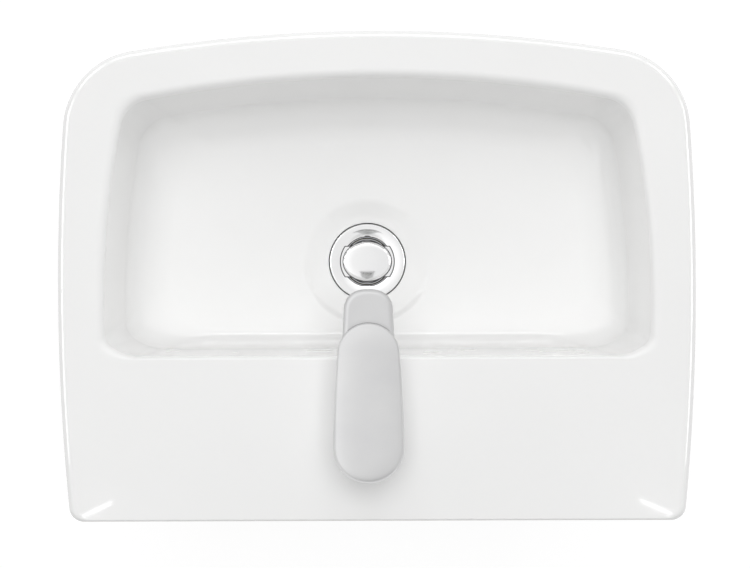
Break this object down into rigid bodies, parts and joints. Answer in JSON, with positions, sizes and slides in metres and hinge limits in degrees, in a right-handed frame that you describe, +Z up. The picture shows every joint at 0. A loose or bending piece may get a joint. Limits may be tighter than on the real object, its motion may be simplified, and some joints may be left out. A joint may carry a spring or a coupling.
{
  "type": "washbasin with mixer tap",
  "caption": "Wall-hung washbasin with a bowed rectangular bowl, a deep tap deck, a single-lever mixer tap, an overflow and a push-button waste.",
  "frame": {"origin": "midway between the two wall fixing holes, on the wall plane", "axes": "+Z up, +Y into the wall, the basin reaches towards -Y, +X to the right of someone who looks along +Y at the wall"},
  "size_m": [0.5598, 0.43, 0.3065],
  "materials": {
    "glaze": "gloss",
    "chrome": "polished",
    "satin_chrome": "satin",
    "brass": "satin",
    "steel": "satin",
    "rubber": "matte",
    "plastic": "matte",
    "dark_plastic": "satin",
    "disc_ceramic": "satin",
    "coupler_plastic": "satin",
    "zinc": "satin"
  },
  "bodies": {
    "basin": {"ceramic_basin": "glaze", "overflow_ring": "chrome", "waste_body": "chrome", "flange_gasket": "rubber", "lower_seal": "rubber", "seal_washer": "plastic", "back_nut": "brass", "click_sleeve": "plastic", "click_spring": "steel", "tap_body": "satin_chrome", "base_seal": "rubber", "aerator_housing": "satin_chrome", "aerator_insert": "plastic", "aerator_seal": "rubber", "cartridge_base": "plastic", "port_seals": "rubber", "cartridge_housing": "plastic", "fixed_disc": "disc_ceramic", "cartridge_nut": "brass", "cartridge_cap": "satin_chrome", "fixing_stud": "steel", "horseshoe_gasket": "rubber", "horseshoe_washer": "steel", "fixing_nut": "brass"},
    "rotor": {"stem_rotor": "plastic", "stem_pin": "steel"},
    "lever": {"lever_stem": "zinc", "lever_handle": "satin_chrome", "lever_screw": "steel", "screw_plug": "satin_chrome"},
    "disc": {"moving_disc": "disc_ceramic", "disc_coupler": "coupler_plastic"},
    "plug": {"plug_cap": "chrome", "plug_disc": "dark_plastic", "plug_seal": "rubber", "plug_stem": "brass"}
  },
  "joints": [
    {"name": "lever_swing", "type": "hinge", "parent": "basin", "child": "rotor", "pos_m": [0.008, -0.07, 0.126], "axis": [0, 0, 1], "range_deg": [-45, 45]},
    {"name": "lever_lift", "type": "hinge", "parent": "rotor", "child": "lever", "pos_m": [0.008, -0.07, 0.126], "axis": [-1, 0, 0], "range_deg": [0, 20]},
    {"name": "disc_shift", "type": "slide", "parent": "rotor", "child": "disc", "axis": [0, -1, 0], "range_m": [0, 0.0049]},
    {"name": "plug_lift", "type": "slide", "parent": "basin", "child": "plug", "axis": [0, 0, 1], "range_m": [0, 0.009], "deforming": ["click_spring"]}
  ],
  "couplings": [
    {"joint": "disc_shift", "follows": "lever_lift", "m_per_rad": 0.01372}
  ]
}
